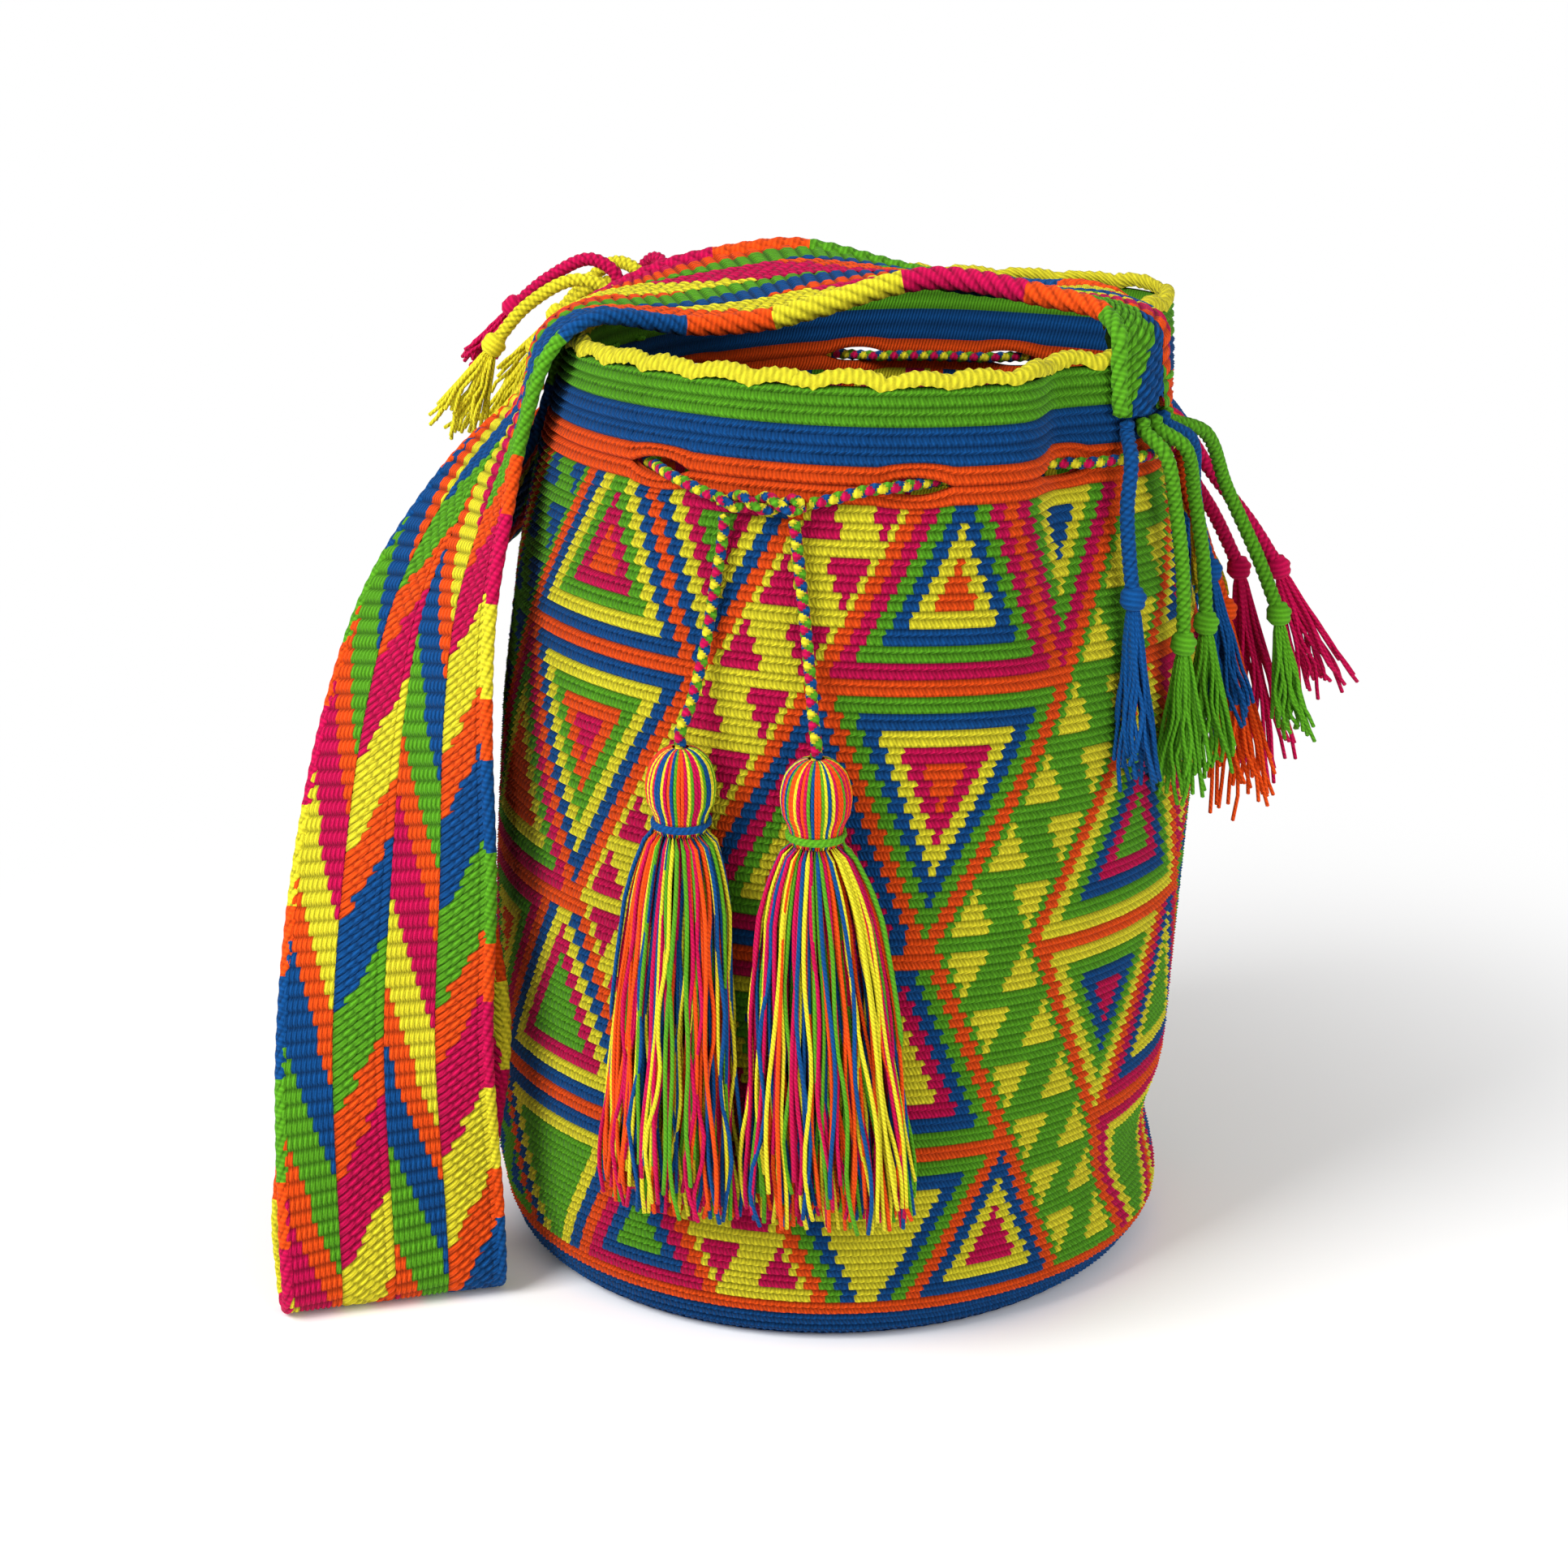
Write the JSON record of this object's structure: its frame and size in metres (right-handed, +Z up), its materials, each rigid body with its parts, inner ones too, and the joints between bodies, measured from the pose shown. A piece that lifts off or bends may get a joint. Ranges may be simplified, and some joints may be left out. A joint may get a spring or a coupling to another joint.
{
  "type": "wayuu mochila bag",
  "caption": "Cylindrical crocheted shoulder bag with a stepped diamond pattern, a drawstring with hanging tassels, and a wide braided strap with loose cord ends.",
  "frame": {"origin": "middle of the flat base, on the surface that the bag stands on", "axes": "+Z up the bag; -Y towards the front, where the drawstring is knotted; +X to the side where the cord ends of the strap fall"},
  "size_m": [0.306, 0.2538, 0.3185],
  "materials": {
    "crocheted_cotton": "matte cotton yarn",
    "braided_cotton": "matte cotton yarn",
    "green_yarn": "matte cotton yarn",
    "blue_yarn": "matte cotton yarn",
    "orange_yarn": "matte cotton yarn",
    "magenta_yarn": "matte cotton yarn",
    "yellow_yarn": "matte cotton yarn"
  },
  "bodies": {
    "bag": {"bag_body": "crocheted_cotton", "strap_band": "braided_cotton", "strap_seam_right": "green_yarn", "strap_seam_left": "green_yarn", "drawstring_loop": "blue_yarn", "drawstring_knot": "green_yarn", "fringe_right_blue_1": "blue_yarn", "fringe_right_green_1": "green_yarn", "fringe_right_green_2": "green_yarn", "fringe_right_blue_2": "blue_yarn", "fringe_right_orange_1": "orange_yarn", "fringe_right_green_3": "green_yarn", "fringe_right_magenta_1": "magenta_yarn", "fringe_right_magenta_2": "magenta_yarn", "fringe_right_yellow_1": "yellow_yarn", "fringe_right_blue_3": "blue_yarn", "fringe_left_yellow_1": "yellow_yarn", "fringe_left_magenta_1": "magenta_yarn", "fringe_left_yellow_2": "yellow_yarn", "fringe_left_yellow_3": "yellow_yarn", "fringe_left_orange_1": "orange_yarn", "fringe_left_magenta_2": "magenta_yarn"},
    "tassel_left": {"drawstring_end_left": "yellow_yarn", "tassel_left_threads": "magenta_yarn", "tassel_left_binding": "blue_yarn"},
    "tassel_right": {"drawstring_end_right": "magenta_yarn", "tassel_right_threads": "yellow_yarn", "tassel_right_binding": "green_yarn"}
  },
  "joints": [
    {"name": "tassel_left_swing", "type": "hinge", "parent": "bag", "child": "tassel_left", "pos_m": [0.0119, -0.1037, 0.271], "axis": [-1, 0, 0], "range_deg": [0, 70]},
    {"name": "tassel_right_swing", "type": "hinge", "parent": "bag", "child": "tassel_right", "pos_m": [0.0119, -0.1037, 0.271], "axis": [-1, 0, 0], "range_deg": [0, 70]}
  ]
}
